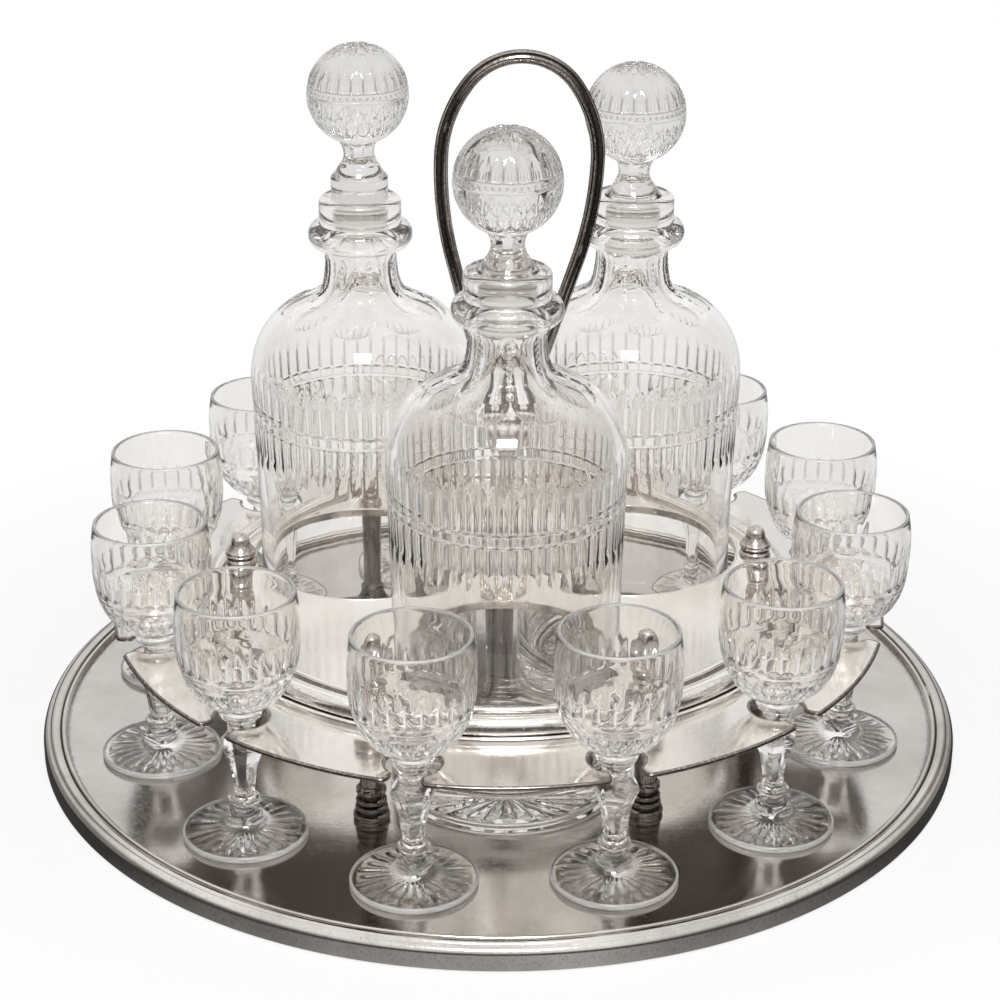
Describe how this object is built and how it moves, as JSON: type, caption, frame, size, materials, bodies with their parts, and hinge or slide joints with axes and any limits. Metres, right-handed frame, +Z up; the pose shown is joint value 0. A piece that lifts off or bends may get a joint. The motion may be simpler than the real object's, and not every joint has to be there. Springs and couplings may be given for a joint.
{
  "type": "liqueur stand",
  "caption": "Round liqueur stand: silver tray, slotted shelf and raised deck on turned posts, loop handle, lift-out stoppered decanters and slide-out stemmed glasses.",
  "frame": {"origin": "middle of the underside of the tray's skirt, on the table", "axes": "+Z up, -Y towards the front decanter, +X to the right"},
  "size_m": [0.356, 0.356, 0.268],
  "materials": {
    "silver_plate": "polished old silver plate with fine wear",
    "plain_metal": "plain metal, unseen under the tray",
    "cut_glass": "clear cut glass"
  },
  "bodies": {
    "stand": {"tray": "silver_plate", "tray_rim": "silver_plate", "shelf": "silver_plate", "deck": "silver_plate", "deck_moulding": "silver_plate", "collar_front": "silver_plate", "collar_right": "silver_plate", "collar_left": "silver_plate", "post_1": "silver_plate", "post_2": "silver_plate", "post_3": "silver_plate", "post_4": "silver_plate", "post_5": "silver_plate", "post_6": "silver_plate", "finial_1": "silver_plate", "finial_2": "silver_plate", "finial_3": "silver_plate", "finial_4": "silver_plate", "finial_5": "silver_plate", "finial_6": "silver_plate", "nut_1": "plain_metal", "nut_2": "plain_metal", "nut_3": "plain_metal", "nut_4": "plain_metal", "nut_5": "plain_metal", "nut_6": "plain_metal", "centre_post": "silver_plate", "centre_nut": "plain_metal", "handle_seat": "silver_plate", "handle_stem": "silver_plate", "handle_boss": "silver_plate", "handle_loop": "silver_plate"},
    "decanter_front": {"decanter_front": "cut_glass"},
    "decanter_right": {"decanter_right": "cut_glass"},
    "decanter_left": {"decanter_left": "cut_glass"},
    "stopper_front": {"stopper_front": "cut_glass"},
    "stopper_right": {"stopper_right": "cut_glass"},
    "stopper_left": {"stopper_left": "cut_glass"},
    "glass_1": {"glass_1": "cut_glass"},
    "glass_2": {"glass_2": "cut_glass"},
    "glass_3": {"glass_3": "cut_glass"},
    "glass_4": {"glass_4": "cut_glass"},
    "glass_5": {"glass_5": "cut_glass"},
    "glass_6": {"glass_6": "cut_glass"},
    "glass_7": {"glass_7": "cut_glass"},
    "glass_8": {"glass_8": "cut_glass"},
    "glass_9": {"glass_9": "cut_glass"},
    "glass_10": {"glass_10": "cut_glass"},
    "glass_11": {"glass_11": "cut_glass"},
    "glass_12": {"glass_12": "cut_glass"}
  },
  "joints": [
    {"name": "decanter_front_lift", "type": "slide", "parent": "stand", "child": "decanter_front", "axis": [0, 0, 1], "range_m": [0, 0.06]},
    {"name": "decanter_right_lift", "type": "slide", "parent": "stand", "child": "decanter_right", "axis": [0, 0, 1], "range_m": [0, 0.013]},
    {"name": "decanter_left_lift", "type": "slide", "parent": "stand", "child": "decanter_left", "axis": [0, 0, 1], "range_m": [0, 0.042]},
    {"name": "stopper_front_lift", "type": "slide", "parent": "decanter_front", "child": "stopper_front", "axis": [0, 0, 1], "range_m": [0, 0.028]},
    {"name": "stopper_right_lift", "type": "slide", "parent": "decanter_right", "child": "stopper_right", "axis": [0, 0, 1], "range_m": [0, 0.028]},
    {"name": "stopper_left_lift", "type": "slide", "parent": "decanter_left", "child": "stopper_left", "axis": [0, 0, 1], "range_m": [0, 0.028]},
    {"name": "glass_1_out", "type": "slide", "parent": "stand", "child": "glass_1", "axis": [0.2475, -0.9237, 0.2924], "range_m": [0, 0.06]},
    {"name": "glass_2_out", "type": "slide", "parent": "stand", "child": "glass_2", "axis": [0.6762, -0.6762, 0.2924], "range_m": [0, 0.06]},
    {"name": "glass_3_out", "type": "slide", "parent": "stand", "child": "glass_3", "axis": [0.9237, -0.2475, 0.2924], "range_m": [0, 0.06]},
    {"name": "glass_4_out", "type": "slide", "parent": "stand", "child": "glass_4", "axis": [0.9237, 0.2475, 0.2924], "range_m": [0, 0.06]},
    {"name": "glass_5_out", "type": "slide", "parent": "stand", "child": "glass_5", "axis": [0.6762, 0.6762, 0.2924], "range_m": [0, 0.06]},
    {"name": "glass_6_out", "type": "slide", "parent": "stand", "child": "glass_6", "axis": [0.2475, 0.9237, 0.2924], "range_m": [0, 0.06]},
    {"name": "glass_7_out", "type": "slide", "parent": "stand", "child": "glass_7", "axis": [-0.2475, 0.9237, 0.2924], "range_m": [0, 0.06]},
    {"name": "glass_8_out", "type": "slide", "parent": "stand", "child": "glass_8", "axis": [-0.6762, 0.6762, 0.2924], "range_m": [0, 0.06]},
    {"name": "glass_9_out", "type": "slide", "parent": "stand", "child": "glass_9", "axis": [-0.9237, 0.2475, 0.2924], "range_m": [0, 0.06]},
    {"name": "glass_10_out", "type": "slide", "parent": "stand", "child": "glass_10", "axis": [-0.9237, -0.2475, 0.2924], "range_m": [0, 0.06]},
    {"name": "glass_11_out", "type": "slide", "parent": "stand", "child": "glass_11", "axis": [-0.6762, -0.6762, 0.2924], "range_m": [0, 0.06]},
    {"name": "glass_12_out", "type": "slide", "parent": "stand", "child": "glass_12", "axis": [-0.2475, -0.9237, 0.2924], "range_m": [0, 0.06]}
  ]
}
